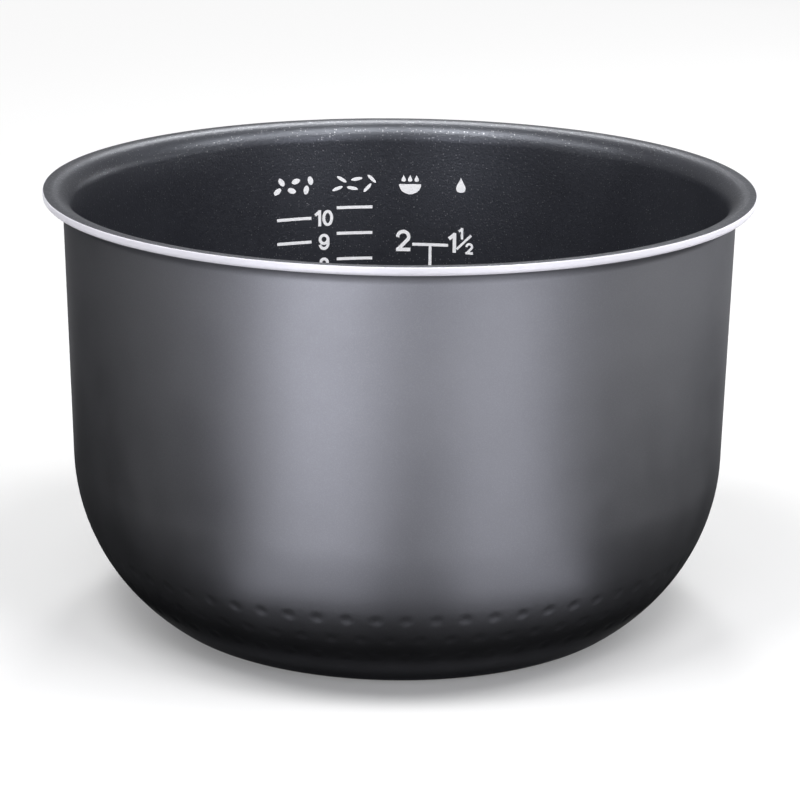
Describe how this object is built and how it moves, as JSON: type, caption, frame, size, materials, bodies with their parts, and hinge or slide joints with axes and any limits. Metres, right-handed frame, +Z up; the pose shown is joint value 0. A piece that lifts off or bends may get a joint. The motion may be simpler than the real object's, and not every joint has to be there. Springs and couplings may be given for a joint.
{
  "type": "rice cooker inner pot",
  "caption": "Deep round metal inner pot of a rice cooker: flat rim flange with a bright turned edge, dented shoulder, flat base, dark non-stick inside and a printed level scale.",
  "frame": {"origin": "centre of the base ring, on the surface that the pot stands on", "axes": "+Z up along the axis of the pot, +Y towards the inside wall that carries the level scale, -Y towards the viewer of the picture"},
  "size_m": [0.236, 0.236, 0.146],
  "materials": {
    "outer_coat": "satin dark grey coat with a very fine grain",
    "bare_edge": "bright turned metal",
    "nonstick_lining": "satin near-black coat with fine light specks",
    "scale_ink": "printed white ink"
  },
  "bodies": {
    "root": {"pot_body": "outer_coat", "level_marks": "scale_ink"}
  },
  "joints": []
}
